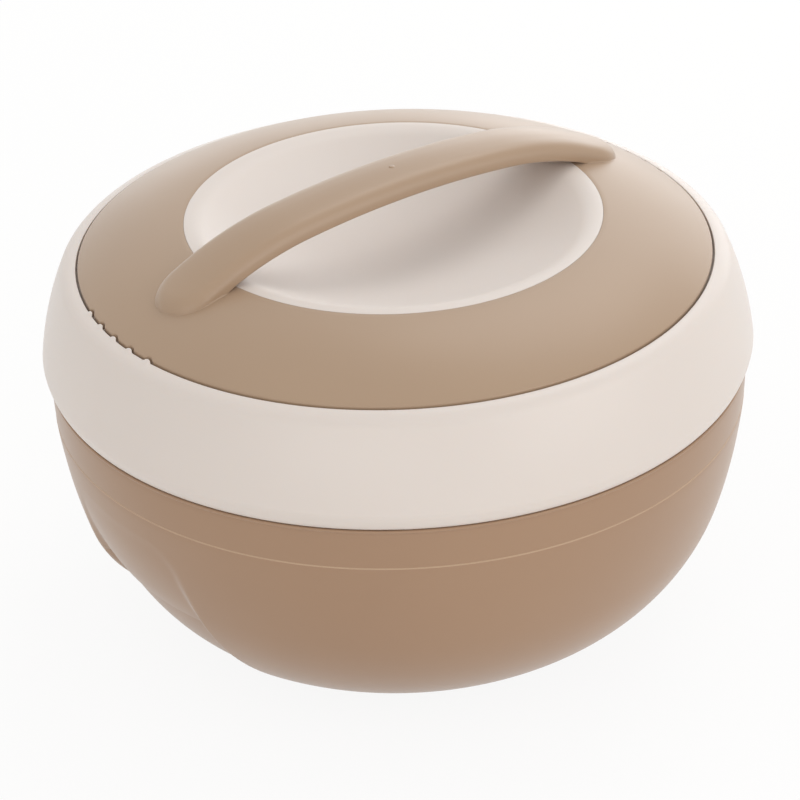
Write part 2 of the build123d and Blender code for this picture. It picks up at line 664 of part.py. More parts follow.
def lid_insulation():
    # foam between the hollow, the deck and the inner lid
    lift = lid_liner_thickness + seat_gap
    low = flange_low - plug_depth + lift
    inner = plug_radius - lid_liner_thickness - seat_gap
    top = flange_low + lid_liner_thickness + seat_gap
    outer = liner_rim - post_wall_thickness - seat_gap
    inset = lid_wall_thickness + seat_gap
    lip = hollow_edge - inset
    lip_angle = degrees(acos((lip - lip_centre[0]) / (hollow_lip_radius - inset)))
    start = polar(lip_centre, hollow_lip_radius - inset, lip_angle)
    foam = turned(
        plug_arc(lift, True), Line(plug_arc(lift) @ 0, (inner, low + plug_corner_radius)),
        Line((inner, low + plug_corner_radius), (inner, top)),
        Line((inner, top), (outer, top)), Line((outer, top), dome_point(outer, deck_drop + inset)),
        dome_arc(outer, lip, deck_drop + inset), Line(dome_point(lip, deck_drop + inset), start),
        arc(lip_centre, hollow_lip_radius - inset, lip_angle, lip_end),
        arc(dish_centre, dish_radius + inset, lip_end + 180, 270),
        Line((0, dish_centre[1] - dish_radius - inset), plug_arc(lift) @ 1))
    head_low = screw_seat - screw_head_height - seat_gap
    for place in handle_screw_places():
        foam -= place * upright(deck_boss_radius + seat_gap, head_low, crown_height)
    return foam


def seal_ring():
    # silicone ring with a bulbous sealing face towards the collar
    middle = (seal_inner + seal_outer) / 2
    return turned(
        Line((seal_inner, seal_top), (seal_outer, seal_top)),
        Line((seal_outer, seal_top), (seal_outer, seal_bottom + seal_height / 2)),
        ThreePointArc((seal_outer, seal_bottom + seal_height / 2), (middle, seal_bottom),
                      (seal_inner, seal_bottom + seal_height / 2)),
        Line((seal_inner, seal_bottom + seal_height / 2), (seal_inner, seal_top)))


parts = {
    "outer_shell": outer_shell, "base_cap": base_cap, "cap_screws": cap_screws,
    "fill_plug": fill_plug, "body_insulation": body_insulation, "inner_liner": inner_liner,
    "rim_collar": rim_collar, "seal_ring": seal_ring, "lid_shell": lid_shell,
    "handle_ring": handle_ring, "handle_screws": handle_screws,
    "lid_insulation": lid_insulation, "lid_liner": lid_liner}

os.makedirs("parts", exist_ok=True)
for name, make in parts.items():
    export_step(make(), f"parts/{name}.step")
    print("wrote", name)
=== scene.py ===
from math import sin, cos, asin, acos, atan2, hypot, radians, degrees, sqrt
import bpy
import bmesh
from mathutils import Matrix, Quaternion, Vector


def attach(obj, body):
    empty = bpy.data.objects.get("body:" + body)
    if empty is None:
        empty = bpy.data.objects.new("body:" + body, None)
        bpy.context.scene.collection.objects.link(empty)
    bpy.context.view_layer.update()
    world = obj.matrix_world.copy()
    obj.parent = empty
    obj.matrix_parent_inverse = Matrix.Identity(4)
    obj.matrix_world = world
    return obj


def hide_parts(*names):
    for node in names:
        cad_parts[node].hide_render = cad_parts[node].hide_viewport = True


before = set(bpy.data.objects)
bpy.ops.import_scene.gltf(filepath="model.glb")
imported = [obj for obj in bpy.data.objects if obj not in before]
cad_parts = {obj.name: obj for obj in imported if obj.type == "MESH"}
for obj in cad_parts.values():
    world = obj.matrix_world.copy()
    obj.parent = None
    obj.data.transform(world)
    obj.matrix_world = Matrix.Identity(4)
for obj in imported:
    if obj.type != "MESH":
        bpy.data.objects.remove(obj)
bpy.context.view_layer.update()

# Insulated food bowl. Sizes are in millimetres and degrees, and become metres when a mesh is made.
# The handle runs along X and the bowl stands on z = 0.
mm = 0.001


# helpers

def polar(centre, radius, angle):
    return (centre[0] + radius * cos(radians(angle)), centre[1] + radius * sin(radians(angle)))


def arcPoints(centre, radius, start, end, steps):
    return [polar(centre, radius, start + (end - start) * i / steps) for i in range(steps + 1)]


def arcThrough(a, b, c, steps):
    # circle through three points, walked from a to c
    d = 2 * (a[0] * (b[1] - c[1]) + b[0] * (c[1] - a[1]) + c[0] * (a[1] - b[1]))
    sq = [p[0] ** 2 + p[1] ** 2 for p in (a, b, c)]
    x = (sq[0] * (b[1] - c[1]) + sq[1] * (c[1] - a[1]) + sq[2] * (a[1] - b[1])) / d
    y = (sq[0] * (c[0] - b[0]) + sq[1] * (a[0] - c[0]) + sq[2] * (b[0] - a[0])) / d
    start, end = (degrees(atan2(p[1] - y, p[0] - x)) for p in (a, c))
    turn = (end - start + 180) % 360 - 180
    return arcPoints((x, y), hypot(a[0] - x, a[1] - y), start, start + turn, steps)


def rounded(before, corner, after, size, steps=4):
    # soft corner that starts and ends size away from the sharp one
    ends = []
    for other in (before, after):
        length = hypot(other[0] - corner[0], other[1] - corner[1])
        ends.append([corner[k] + (other[k] - corner[k]) * size / length for k in (0, 1)])
    points = []
    for i in range(steps + 1):
        t = i / steps
        points.append(tuple((1 - t) ** 2 * ends[0][k] + 2 * t * (1 - t) * corner[k] + t * t * ends[1][k]
                            for k in (0, 1)))
    return points


def smoothStep(value):
    value = min(max(value, 0), 1)
    return value * value * (3 - 2 * value)


def smoothMax(a, b, width):
    # the larger of two heights, with a soft valley of that width between them
    h = max(width - abs(a - b), 0) / width
    return max(a, b) + h * h * width / 4


def spread(start, end, step):
    count = max(1, round((end - start) / step))
    return [start + (end - start) * i / count for i in range(count)]


def finishMesh(name, shape, sharpAngle=38):
    mesh = bpy.data.meshes.new(name)
    bmesh.ops.recalc_face_normals(shape, faces=shape.faces)
    shape.to_mesh(mesh)
    shape.free()
    mesh.polygons.foreach_set("use_smooth", [True] * len(mesh.polygons))
    mesh.set_sharp_from_angle(angle=radians(sharpAngle))
    piece = bpy.data.objects.new(name, mesh)
    bpy.context.scene.collection.objects.link(piece)
    return piece


onAxis = 0.001  # a profile point nearer to the axis than this becomes a pole


def turnedPiece(name, profile, angles, shift=None, closed=True):
    # spins a profile of (radius, height) round Z; shift may move each point by its angle
    shape = bmesh.new()
    rings = []
    for radius, height in profile:
        if radius < onAxis:
            rings.append([shape.verts.new((0, 0, height * mm))])
            continue
        ring = []
        for angle in angles:
            r, z = shift(radius, height, angle) if shift else (radius, height)
            ring.append(shape.verts.new((r * cos(radians(angle)) * mm, r * sin(radians(angle)) * mm,
                                         z * mm)))
        rings.append(ring)
    count = len(angles)
    pairs = list(zip(rings, rings[1:])) + ([(rings[-1], rings[0])] if closed else [])
    for low, high in pairs:
        for i in range(count):
            j = (i + 1) % count
            corners = [low[i % len(low)], low[j % len(low)], high[j % len(high)], high[i % len(high)]]
            shape.faces.new(list(dict.fromkeys(corners)))
    return finishMesh(name, shape)


# materials

def linear(hexColour):
    parts = [int(hexColour[i:i + 2], 16) / 255 for i in (0, 2, 4)]
    return tuple(p / 12.92 if p <= 0.04045 else ((p + 0.055) / 1.055) ** 2.4 for p in parts) + (1,)


def addNode(tree, kind, settings=None, inputs=None):
    # inputs take a value or another node's output socket
    node = tree.nodes.new(kind)
    for key, value in (settings or {}).items():
        setattr(node, key, value)
    for key, value in (inputs or {}).items():
        if isinstance(value, bpy.types.NodeSocket):
            tree.links.new(value, node.inputs[key])
        else:
            node.inputs[key].default_value = value
    return node


def newMaterial(name):
    material = bpy.data.materials.new(name)
    material.use_nodes = True
    tree = material.node_tree
    tree.nodes.clear()
    out = addNode(tree, "ShaderNodeOutputMaterial")
    place = addNode(tree, "ShaderNodeTexCoord").outputs["Object"]
    return material, tree, out, place


def perMm(size):
    return 1 / (size * mm)  # texture scale for a pattern of that size


# Injection-moulded polypropylene: satin skin with a spark-eroded grain, slow flow marks in the
# colour, a little light that travels under the surface, and a pale bloom where it turns away.
# The real grain is about a tenth of a millimetre and is drawn coarser, so that it shows.
brownPlastic = {
    "name": "brownPolypropylene", "colour": "a48469", "flowColour": "a08066", "flowSize": 55,
    "lineHeight": 88.0, "paintedHighlightWidth": 0.55, "paintedHighlightColour": "b89b80",   # painted highlight: a paler line below the rim, for light caught by the fine ledge there
    "roughness": (0.36, 0.40), "roughSize": 30, "grainSize": 0.7, "grainDepth": 0.006,
    "glow": 0.04, "glowDepth": 1.0, "bloom": 0.28}
creamPlastic = {
    "name": "creamPolypropylene", "colour": "ddd3cc", "flowColour": "dad0c9", "flowSize": 60,
    "roughness": (0.36, 0.40), "roughSize": 30, "grainSize": 0.7, "grainDepth": 0.005,
    "glow": 0.10, "glowDepth": 2.0, "bloom": 0.12}
tanPlastic = {
    "name": "tanPolypropylene", "colour": "ab9178", "flowColour": "a78d75", "flowSize": 50,
    "roughness": (0.33, 0.37), "roughSize": 25, "grainSize": 0.6, "grainDepth": 0.004,
    "glow": 0.04, "glowDepth": 1.0, "bloom": 0.3}
gatePlastic = dict(tanPlastic, name="tanPolypropyleneGate", roughness=(0.08, 0.12), grainDepth=0.001)
innerPlastic = {
    "name": "paleInnerPolypropylene", "colour": "efe8df", "flowColour": "ece3d8", "flowSize": 45,
    "roughness": (0.26, 0.34), "roughSize": 12, "grainSize": 0.6, "grainDepth": 0.003,
    "glow": 0.12, "glowDepth": 2.0, "bloom": 0.12}
polypropylene = {"ior": 1.49, "glowTint": (1.0, 0.7, 0.5), "bloomSoftness": 0.35,
                 "flowDetail": 2.0, "flowRoughness": 0.4, "roughDetail": 3.0,
                 "grainDetail": 2.0, "grainRoughness": 0.6}


def mouldedPlastic(finish):
    material, tree, out, place = newMaterial(finish["name"])
    flow = addNode(tree, "ShaderNodeTexNoise", {}, {
        "Vector": place, "Scale": perMm(finish["flowSize"]), "Detail": polypropylene["flowDetail"],
        "Roughness": polypropylene["flowRoughness"]})
    colour = addNode(tree, "ShaderNodeMix", {"data_type": "RGBA"}, {
        0: flow.outputs["Fac"], 6: linear(finish["colour"]), 7: linear(finish["flowColour"])})
    if "lineHeight" in finish:
        # painted highlight: a paler band round the piece at one height, standing in for light caught by
        # the fine ledge of the wall
        height = addNode(tree, "ShaderNodeSeparateXYZ", {}, {0: place}).outputs[2]
        away = addNode(tree, "ShaderNodeMath", {"operation": "COMPARE"}, {
            0: height, 1: finish["lineHeight"] * mm, 2: finish["paintedHighlightWidth"] / 2 * mm})
        colour = addNode(tree, "ShaderNodeMix", {"data_type": "RGBA"}, {
            0: away.outputs[0], 6: colour.outputs[2], 7: linear(finish["paintedHighlightColour"])})
    patches = addNode(tree, "ShaderNodeTexNoise", {}, {
        "Vector": place, "Scale": perMm(finish["roughSize"]), "Detail": polypropylene["roughDetail"]})
    roughness = addNode(tree, "ShaderNodeMapRange", {}, {
        0: patches.outputs["Fac"], 3: finish["roughness"][0], 4: finish["roughness"][1]})
    grain = addNode(tree, "ShaderNodeTexNoise", {}, {
        "Vector": place, "Scale": perMm(finish["grainSize"]), "Detail": polypropylene["grainDetail"],
        "Roughness": polypropylene["grainRoughness"]})
    bump = addNode(tree, "ShaderNodeBump", {}, {
        "Height": grain.outputs["Fac"], "Distance": finish["grainDepth"] * mm, "Strength": 1.0})
    shader = addNode(tree, "ShaderNodeBsdfPrincipled", {}, {
        "Base Color": colour.outputs[2], "Roughness": roughness.outputs[0],
        "IOR": polypropylene["ior"], "Subsurface Weight": finish["glow"],
        "Subsurface Radius": polypropylene["glowTint"], "Subsurface Scale": finish["glowDepth"] * mm,
        "Sheen Weight": finish["bloom"], "Sheen Roughness": polypropylene["bloomSoftness"],
        "Normal": bump.outputs[0]})
    tree.links.new(shader.outputs[0], out.inputs["Surface"])
    return material


# Spun stainless steel, type 304: fine turning rings round the axis, drawn coarser than the
# tool's real feed of a tenth of a millimetre, so that they show
steelFinish = {"colour": "c8c6c2", "roughness": (0.22, 0.36), "ringWidth": 0.45,
               "ringDepth": 0.004, "ringDetail": 4.0}


def spunSteel():
    material, tree, out, place = newMaterial("spunStainlessSteel")
    parts = addNode(tree, "ShaderNodeSeparateXYZ", {}, {0: place})
    flat = addNode(tree, "ShaderNodeCombineXYZ", {}, {0: parts.outputs[0], 1: parts.outputs[1]})
    reach = addNode(tree, "ShaderNodeVectorMath", {"operation": "LENGTH"}, {0: flat.outputs[0]})
    rings = addNode(tree, "ShaderNodeCombineXYZ", {}, {0: reach.outputs["Value"], 2: parts.outputs[2]})
    noise = addNode(tree, "ShaderNodeTexNoise", {}, {
        "Vector": rings.outputs[0], "Scale": perMm(steelFinish["ringWidth"]),
        "Detail": steelFinish["ringDetail"]})
    roughness = addNode(tree, "ShaderNodeMapRange", {}, {
        0: noise.outputs["Fac"], 3: steelFinish["roughness"][0], 4: steelFinish["roughness"][1]})
    bump = addNode(tree, "ShaderNodeBump", {}, {
        "Height": noise.outputs["Fac"], "Distance": steelFinish["ringDepth"] * mm})
    shader = addNode(tree, "ShaderNodeBsdfPrincipled", {}, {
        "Base Color": linear(steelFinish["colour"]), "Metallic": 1.0,
        "Roughness": roughness.outputs[0], "Normal": bump.outputs[0]})
    tree.links.new(shader.outputs[0], out.inputs["Surface"])
    return material


# Cured silicone rubber: milky, soft sheen, fine dust-like mottling
siliconeFinish = {"colour": "e6e4df", "mottleColour": "dddad3", "mottleSize": 3.0,
                  "mottleDepth": 0.01, "roughness": 0.48, "ior": 1.41,
                  "glow": 0.35, "glowTint": (1.0, 0.9, 0.8), "glowDepth": 2.5}


def siliconeRubber():
    material, tree, out, place = newMaterial("milkySilicone")
    look = siliconeFinish
    mottle = addNode(tree, "ShaderNodeTexNoise", {}, {
        "Vector": place, "Scale": perMm(look["mottleSize"])})
    colour = addNode(tree, "ShaderNodeMix", {"data_type": "RGBA"}, {
        0: mottle.outputs["Fac"], 6: linear(look["colour"]), 7: linear(look["mottleColour"])})
    bump = addNode(tree, "ShaderNodeBump", {}, {
        "Height": mottle.outputs["Fac"], "Distance": look["mottleDepth"] * mm})
    shader = addNode(tree, "ShaderNodeBsdfPrincipled", {}, {
        "Base Color": colour.outputs[2], "Roughness": look["roughness"], "IOR": look["ior"],
        "Subsurface Weight": look["glow"], "Subsurface Radius": look["glowTint"],
        "Subsurface Scale": look["glowDepth"] * mm, "Normal": bump.outputs[0]})
    tree.links.new(shader.outputs[0], out.inputs["Surface"])
    return material


# Rigid polyurethane foam: straw coloured cells about a millimetre wide
foamFinish = {"colour": "d9c28a", "cellColour": "efe0b4", "cellSize": 1.2, "cellDepth": 0.2,
              "roughness": 0.9}


def pouredFoam():
    material, tree, out, place = newMaterial("pouredFoam")
    look = foamFinish
    cells = addNode(tree, "ShaderNodeTexVoronoi", {}, {
        "Vector": place, "Scale": perMm(look["cellSize"])})
    colour = addNode(tree, "ShaderNodeMix", {"data_type": "RGBA"}, {
        0: cells.outputs["Distance"], 6: linear(look["colour"]), 7: linear(look["cellColour"])})
    bump = addNode(tree, "ShaderNodeBump", {}, {
        "Height": cells.outputs["Distance"], "Distance": look["cellDepth"] * mm})
    shader = addNode(tree, "ShaderNodeBsdfPrincipled", {}, {
        "Base Color": colour.outputs[2], "Roughness": look["roughness"], "Normal": bump.outputs[0]})
    tree.links.new(shader.outputs[0], out.inputs["Surface"])
    return material


# Zinc-plated steel: bright grey with a faint crystal mottle
zincFinish = {"colour": "c9cacb", "roughness": (0.28, 0.42), "mottleSize": 0.8, "mottleDetail": 3.0}


def zincPlate():
    material, tree, out, place = newMaterial("zincPlatedSteel")
    mottle = addNode(tree, "ShaderNodeTexNoise", {}, {
        "Vector": place, "Scale": perMm(zincFinish["mottleSize"]),
        "Detail": zincFinish["mottleDetail"]})
    roughness = addNode(tree, "ShaderNodeMapRange", {}, {
        0: mottle.outputs["Fac"], 3: zincFinish["roughness"][0], 4: zincFinish["roughness"][1]})
    shader = addNode(tree, "ShaderNodeBsdfPrincipled", {}, {
        "Base Color": linear(zincFinish["colour"]), "Metallic": 1.0,
        "Roughness": roughness.outputs[0]})
    tree.links.new(shader.outputs[0], out.inputs["Surface"])
    return material


brown = mouldedPlastic(brownPlastic)
cream = mouldedPlastic(creamPlastic)
tan = mouldedPlastic(tanPlastic)
tanGate = mouldedPlastic(gatePlastic)
pale = mouldedPlastic(innerPlastic)
steel = spunSteel()
silicone = siliconeRubber()
foam = pouredFoam()
zinc = zincPlate()
print("materials made")


def handOver(piece, material, body, slot, *nodes):
    # material, body that carries the piece, record slot (not used), and the CAD nodes that it stands
    # for
    piece.data.materials.clear()
    piece.data.materials.append(material)
    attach(piece, body)
    if nodes:
        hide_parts(*nodes)


# bowl shell

bowl = {
    "rimRadius": 127.4, "rimHeight": 103.4, "wall": 2.6,
    "upperRadius": 185.4, "upperSweep": 16.35,  # gentle upper part of the wall
    "footRadius": 61.7, "footWidth": 8.0, "floorRecess": 3.0, "footRound": 0.5,
    "lineHeight": 88.0, "lineStep": 0.15, "lineRun": 12.0,   # fine ledge round the wall
    "beadRadius": 0.6, "beadRise": 0.25, "beadInset": 0.1, "beadWidth": 1.5,   # bead under the lid
    "neckRadius": 119.2, "neckHeight": 10.6, "neckRound": 0.5, "fillRadius": 9.0,
}
scoop = {
    "top": 78.0, "brow": 43.0, "foot": 4.0,
    "topHalf": 31.0, "footHalf": 40.0, "corner": 12.0, "edge": 5.0, "edgeLead": 0.2,
    "startDepth": 0.2, "browDepth": 3.4, "underDepth": 4.8, "browRound": 1.3,
    "fadePower": 2.0, "bowlRise": 8.4,        # shape of the recess above and below the brow
}

upperCentre = (bowl["rimRadius"] - bowl["upperRadius"], bowl["rimHeight"])
bendNormal = (cos(radians(bowl["upperSweep"])), -sin(radians(bowl["upperSweep"])))
bendPoint = [upperCentre[k] + bowl["upperRadius"] * bendNormal[k] for k in (0, 1)]
toFoot = (bendPoint[0] - bowl["footRadius"], bendPoint[1])
lowerRadius = ((toFoot[0] ** 2 + toFoot[1] ** 2)
               / (2 * (toFoot[0] * bendNormal[0] + toFoot[1] * bendNormal[1])))
lowerCentre = [bendPoint[k] - lowerRadius * bendNormal[k] for k in (0, 1)]


def wallRadius(height, inset=0.0):
    # outside of the wall at a height; inset gives a surface that far inside it
    if height > bendPoint[1]:
        return upperCentre[0] + sqrt((bowl["upperRadius"] - inset) ** 2
                                     - (height - upperCentre[1]) ** 2)
    return lowerCentre[0] + sqrt((lowerRadius - inset) ** 2 - (height - lowerCentre[1]) ** 2)


def scoopDepth(side, height):
    # depth of the finger scoop at a distance to the side of its middle
    if not scoop["foot"] < height < scoop["top"] + 1:
        return 0
    half = scoop["topHalf"] + (scoop["footHalf"] - scoop["topHalf"]) * (
        scoop["top"] - height) / scoop["top"]
    inSide = half - abs(side)
    inTop = scoop["top"] - height
    corner = scoop["corner"]
    if inSide < corner and inTop < corner:
        inside = corner - hypot(corner - inSide, corner - inTop)
    else:
        inside = min(inSide, inTop)
    cover = smoothStep(inside / scoop["edge"] + scoop["edgeLead"])
    fade = (scoop["top"] - max(height, scoop["brow"])) / (scoop["top"] - scoop["brow"])
    above = scoop["startDepth"] + (scoop["browDepth"] - scoop["startDepth"]) * max(
        fade, 0) ** scoop["fadePower"]
    down = min(1, (height - scoop["foot"]) / (scoop["brow"] - 1 - scoop["foot"]))
    below = scoop["bowlRise"] * down + (scoop["underDepth"] - scoop["bowlRise"]) * down ** 2
    turn = smoothStep((scoop["brow"] - height) / scoop["browRound"])
    return cover * (above + (below - above) * turn)


def pressScoop(radius, height, angle):
    if radius < bowl["footRadius"]:
        return radius, height
    side = radius * sin(radians(angle))
    return radius - scoopDepth(side, height), height


# how close the points of the profile stand, in millimetres and degrees
bowlMesh = {
    "lowerStart": -80.5, "lowerEnd": -20, "lowerStep": 1.1,   # lower curve, by angle
    "upperStep": 2.0, "rimStep": 1.8, "insideStep": 3.0,
    "browBelow": 2.5, "browAbove": 1.5, "scoopTop": (77, 79), "fineStep": 0.25,
    "seamRound": 0.15, "seamSteps": 3, "beadSteps": 10,
    "columns": ((0, 8, 1.0), (8, 32, 0.4), (32, 90, 2.0)),   # angles from a scoop's middle, and step
}


def bowlProfile():
    foot, top = bowl["footRadius"], bowl["rimHeight"]
    inner = foot - bowl["footWidth"]
    recess, wall = bowl["floorRecess"], bowl["wall"]
    floorTop = recess + wall
    bead, step, line = bowl["beadRadius"], bowl["lineStep"], bowl["lineHeight"]

    def swell(height):
        return step * smoothStep((height - line + bowl["lineRun"]) / bowl["lineRun"])

    points = [(bowl["fillRadius"], recess)]
    points += rounded((0, recess), (inner, recess), (inner, 0), bowl["footRound"])
    points += rounded((inner, recess), (inner, 0), (foot, 0), bowl["footRound"])
    points += [(foot - 2, 0)]
    lower = spread(bowlMesh["lowerStart"], bowlMesh["lowerEnd"], bowlMesh["lowerStep"])
    curve = [lowerCentre[1] + lowerRadius * sin(radians(a)) for a in lower]
    brow, fine = scoop["brow"], bowlMesh["fineStep"]
    dense = spread(brow - bowlMesh["browBelow"], brow + bowlMesh["browAbove"], fine)
    dense += spread(*bowlMesh["scoopTop"], fine)
    heights = [0] + curve + spread(bendPoint[1] - 4, line - 0.8, bowlMesh["upperStep"]) + dense
    heights = sorted(h for h in heights if h < line - 0.5)
    points += [(wallRadius(h) + swell(h), h) for h in heights]
    ledge = (wallRadius(line) + step, line)
    above = (wallRadius(line), line + 0.1)
    points += rounded((wallRadius(line - 1) + step, line - 1), ledge, above,
                      bowlMesh["seamRound"], bowlMesh["seamSteps"])
    points += [above]
    beadMiddle = top + bowl["beadRise"] - bead
    beadLow = beadMiddle - bead
    points += [(wallRadius(h), h) for h in spread(line + 1, beadLow - 0.3, bowlMesh["rimStep"])]
    points += [(wallRadius(beadLow - 0.2), beadLow - 0.2)]
    points += arcPoints((bowl["rimRadius"] - bowl["beadInset"], beadMiddle), bead, -85, 90,
                        bowlMesh["beadSteps"])
    points += [(bowl["rimRadius"] - bowl["beadWidth"], top + bowl["beadRise"])]
    neck = bowl["neckRadius"]
    neckTop = top + bowl["neckHeight"]
    points += rounded((bowl["rimRadius"], top), (neck, top), (neck, neckTop), bowl["neckRound"])
    points += rounded((neck, top), (neck, neckTop), (neck - wall, neckTop), bowl["neckRound"])
    points += rounded((neck, neckTop), (neck - wall, neckTop), (neck - wall, top), bowl["neckRound"])
    points += [(neck - wall, top - wall)]
    inside = heights + spread(line, top - wall, bowlMesh["insideStep"])
    points += [(wallRadius(h, wall), h) for h in reversed(inside) if h > floorTop + 0.5]
    points += [(wallRadius(floorTop, wall), floorTop), (bowl["fillRadius"], floorTop)]
    return points


def scoopAngles():
    # columns stand close where the sides of the two scoops run
    quarter = [a for start, end, step in bowlMesh["columns"] for a in spread(start, end, step)]
    half = quarter + [180 - a for a in reversed(quarter[1:])] + [90]
    half = sorted(set(round(a, 4) for a in half))
    return half + [a + 180 for a in half]


bowlShell = turnedPiece("bowlShell", bowlProfile(), scoopAngles(), pressScoop)
handOver(bowlShell, brown, "bowl", "body_brown", "outer_shell")
print("bowl shell made", len(bowlShell.data.polygons))


# lid shell

lid = {
    "bottom": 104.0, "wall": 2.4, "bottomRound": 0.3,
    "flare": 2.4, "kickHeight": 5.9, "bulge": 0.45,
    "skirtRadius": 105.2, "skirtLean": 7.0, "skirtSweep": 19.6,
    "lipWidth": 4.2, "lipRise": -0.65, "lipEdge": 0.35, "ringGap": 0.75,
    "openingRadius": 75.4, "hollowSlope": 27.0, "hollowLip": 15.0, "hollowGap": 0.06,
    "hollowRound": 0.15,
    "postRadius": 117.6, "postWall": 2.4, "postBottom": 123.0,   # wall that holds the inner lid
}
dome = {"radius": 91.3, "edgeSlope": 32.3, "thickness": 2.4, "seatGap": 0.2}
flutes = {
    "count": 5, "pitch": 5.2, "shift": -3.6,    # in degrees, at each end of the handle
    "radius": 3.0, "depth": 0.85,               # cuts in the edge of the handle ring
    "scallop": 2.5, "height": 0.75, "climb": 0.63, "flush": 0.3, "fade": 2.0, "fall": 8,   # on the lip
    "sector": (-9.0, 17.0), "fineTurn": 0.25, "plainTurn": 1.0,    # columns of both meshes
}
# how close the points of the lid's and ring's profiles stand, in millimetres or as steps of an arc
lidMesh = {"dish": 2.2, "deck": 4.0, "lipSteps": 12, "crestSteps": 14, "skirtSteps": 28,
           "kneeSteps": 8, "insideSteps": 14}
ringMesh = {"top": 1.8, "edge": 0.5, "under": 4.0, "edgeSteps": 7}

skirtOut = bowl["rimRadius"] + lid["flare"]
skirtCentre = (skirtOut - lid["skirtRadius"] * cos(radians(lid["skirtLean"])),
               lid["bottom"] + lid["kickHeight"] - lid["skirtRadius"] * sin(radians(lid["skirtLean"])))
skirtEnd = lid["skirtLean"] + lid["skirtSweep"]
shoulder = polar(skirtCentre, lid["skirtRadius"], skirtEnd)
lipInner = shoulder[0] - lid["lipWidth"]
ringRadius = lipInner - lid["ringGap"]
domeCentre = (ringRadius - dome["radius"] * sin(radians(dome["edgeSlope"])),
              shoulder[1] - dome["radius"] * cos(radians(dome["edgeSlope"])))
deckDrop = dome["thickness"] + dome["seatGap"]
crestHeight = shoulder[1] + lid["lipRise"]
toLip = (lipInner - skirtCentre[0], crestHeight - skirtCentre[1])
crestRadius = ((lid["skirtRadius"] ** 2 - toLip[0] ** 2 - toLip[1] ** 2)
               / (2 * (lid["skirtRadius"] - toLip[1])))
crestCentre = (lipInner, crestHeight - crestRadius)
crestStart = degrees(acos(toLip[0] / (lid["skirtRadius"] - crestRadius)))


def domeHeight(radius, drop=0.0):
    return domeCentre[1] + sqrt((dome["radius"] - drop) ** 2 - (radius - domeCentre[0]) ** 2)


def lidProfile():
    wall = lid["wall"]
    edge = lid["openingRadius"] - lid["hollowGap"]
    lipStart = degrees(acos((lid["openingRadius"] - domeCentre[0]) / dome["radius"]))
    lipEnd = 90 + lid["hollowSlope"]
    lipTop = domeCentre[1] + dome["radius"] * sin(radians(lipStart))
    lipCentre = (edge - lid["hollowLip"] * cos(radians(lipStart)),
                 lipTop - lid["hollowLip"] * sin(radians(lipStart)))
    dishEdge = polar(lipCentre, lid["hollowLip"], lipEnd)
    dishRadius = dishEdge[0] / sin(radians(lid["hollowSlope"]))
    dishTop = dishEdge[1] + dishRadius * cos(radians(lid["hollowSlope"]))

    def dish(radius, extra=0.0):
        return dishTop - sqrt((dishRadius + extra) ** 2 - radius ** 2)

    deckStep = lidMesh["deck"]
    points = [(r, dish(r)) for r in spread(0, dishEdge[0], lidMesh["dish"])]
    points += arcPoints(lipCentre, lid["hollowLip"], lipEnd, lipStart, lidMesh["lipSteps"])
    deckIn = (edge, domeHeight(edge, deckDrop))
    points += rounded((edge - 3, lipTop), (edge, lipTop), deckIn, lid["hollowRound"], 2)[1:]
    points += [deckIn]
    points += [(r, domeHeight(r, deckDrop)) for r in spread(edge + deckStep, lipInner - 1, deckStep)]
    points += [(lipInner, domeHeight(lipInner, deckDrop)), (lipInner, crestHeight - 2)]
    crest = (lipInner, crestHeight)
    points += rounded((lipInner, crestHeight - 2), crest, (lipInner + 2, crestHeight), lid["lipEdge"])
    crestTop = 90 - degrees(asin(1.5 * lid["lipEdge"] / crestRadius))
    points += arcPoints(crestCentre, crestRadius, crestTop, crestStart, lidMesh["crestSteps"])
    kick = polar(skirtCentre, lid["skirtRadius"], lid["skirtLean"])
    points += arcPoints(skirtCentre, lid["skirtRadius"], crestStart, lid["skirtLean"],
                        lidMesh["skirtSteps"])[1:]
    bottom = (bowl["rimRadius"], lid["bottom"])
    knee = ((bottom[0] + kick[0]) / 2 + lid["bulge"], (bottom[1] + kick[1]) / 2)
    points += arcThrough(kick, knee, bottom, lidMesh["kneeSteps"])[1:-1]
    inside = (bottom[0] - wall, bottom[1])
    points += rounded(knee, bottom, inside, lid["bottomRound"])
    points += rounded(bottom, inside, (inside[0], inside[1] + 5), lid["bottomRound"])
    innerKick = polar(skirtCentre, lid["skirtRadius"] - wall, lid["skirtLean"])
    innerKnee = ((inside[0] + innerKick[0]) / 2 + lid["bulge"], (inside[1] + innerKick[1]) / 2)
    points += arcThrough(inside, innerKnee, innerKick, 6)[2:]
    points += arcPoints(skirtCentre, lid["skirtRadius"] - wall, lid["skirtLean"], skirtEnd - 2,
                        lidMesh["insideSteps"])[1:]
    post, postIn = lid["postRadius"], lid["postRadius"] - lid["postWall"]
    under = deckDrop + wall
    points += [(post, domeHeight(lipInner, under) - 1), (post, lid["postBottom"]),
               (postIn, lid["postBottom"])]
    points += [(r, domeHeight(r, under)) for r in reversed(spread(edge - wall, postIn, deckStep))]
    points += arcPoints(lipCentre, lid["hollowLip"] - wall, lipStart + 8, lipEnd, 8)
    points += [(r, dish(r, wall)) for r in reversed(spread(0, dishEdge[0] - 2, deckStep))]
    return points


def fluteCentres():
    middle = (flutes["count"] - 1) / 2
    offsets = [flutes["shift"] + flutes["pitch"] * (i - middle) for i in range(flutes["count"])]
    return [-o for o in offsets] + [180 + o for o in offsets]


def fluteAngles():
    # columns stand close where the flutes are, at both ends of the handle
    start, end = flutes["sector"]
    right = spread(start, end, flutes["fineTurn"])
    between = spread(end, 180 - end, flutes["plainTurn"])
    left = [180 - a for a in reversed(right + [end])][:-1]
    back = spread(180 - start, 360 + start, flutes["plainTurn"])
    return right + between + left + back


def fluteSide(angle):
    # distance along the lip from the middle of the nearest flute
    away = min(abs((angle - centre + 180) % 360 - 180) for centre in fluteCentres())
    return radians(away) * lipInner


